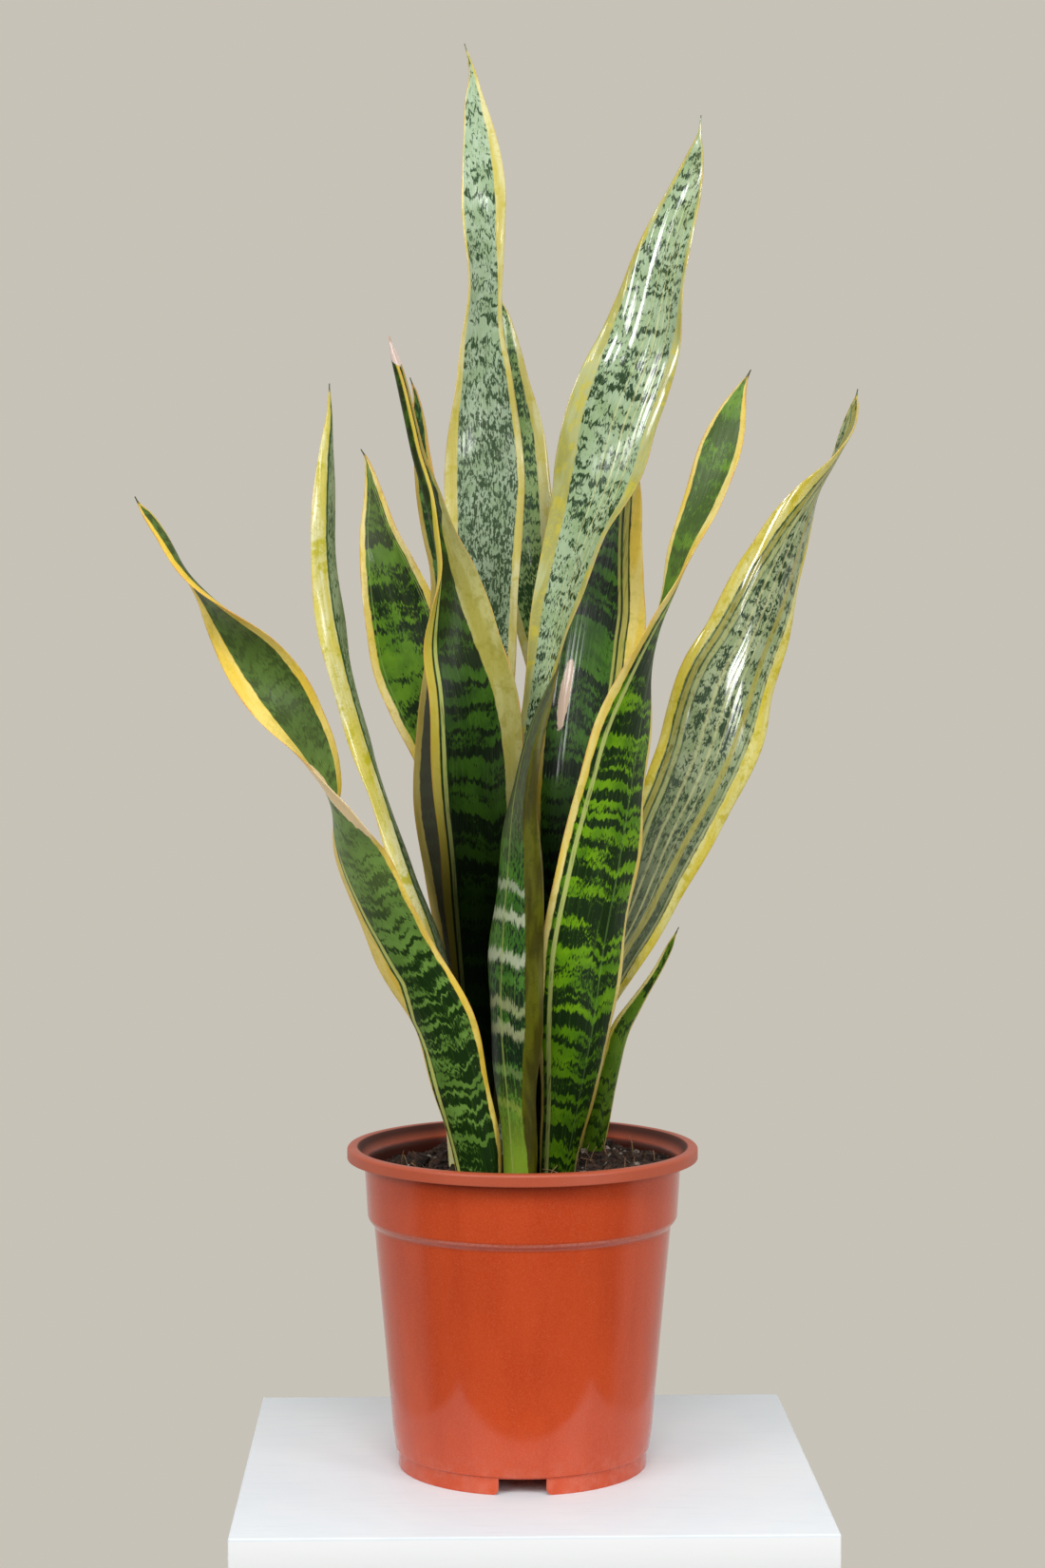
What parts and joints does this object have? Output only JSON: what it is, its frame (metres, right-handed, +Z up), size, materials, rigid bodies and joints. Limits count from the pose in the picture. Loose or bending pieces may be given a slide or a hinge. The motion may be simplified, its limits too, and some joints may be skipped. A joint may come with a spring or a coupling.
{
  "type": "potted snake plant",
  "caption": "Upright snake plant of the yellow-edged laurentii form: stiff, channelled, twisting sword leaves standing in the soil of a round terracotta plastic nursery pot.",
  "frame": {"origin": "The middle of the plant's footprint, at the pot's axis, on the surface that the pot stands on.", "axes": "+Z is up. -Y is the plant's front, the side that the picture shows. +X is to its right as seen from the front."},
  "size_m": [0.4285, 0.2884, 0.8533],
  "materials": {
    "terracotta_plastic": "semi-gloss moulded plastic with a fine orange-peel grain",
    "potting_soil": "rough peat with grey-white lumps and root fibres",
    "leaf_shaded": "waxy deep green with dark wavy cross bands and yellow margins",
    "leaf_lit": "glossy grey-green with dark flecks and yellow margins"
  },
  "bodies": {
    "root": {"pot": "terracotta_plastic", "soil": "potting_soil", "leaf_front_centre": "leaf_shaded", "leaf_front_left": "leaf_shaded", "leaf_front_right": "leaf_shaded", "leaf_centre_left": "leaf_shaded", "leaf_inner_left": "leaf_shaded", "leaf_slender_left": "leaf_shaded", "leaf_back_left": "leaf_shaded", "leaf_tall_centre": "leaf_lit", "leaf_behind_tall": "leaf_lit", "leaf_tall_right": "leaf_lit", "leaf_middle_right": "leaf_shaded", "leaf_far_right": "leaf_lit", "leaf_small_right": "leaf_shaded"}
  },
  "joints": []
}
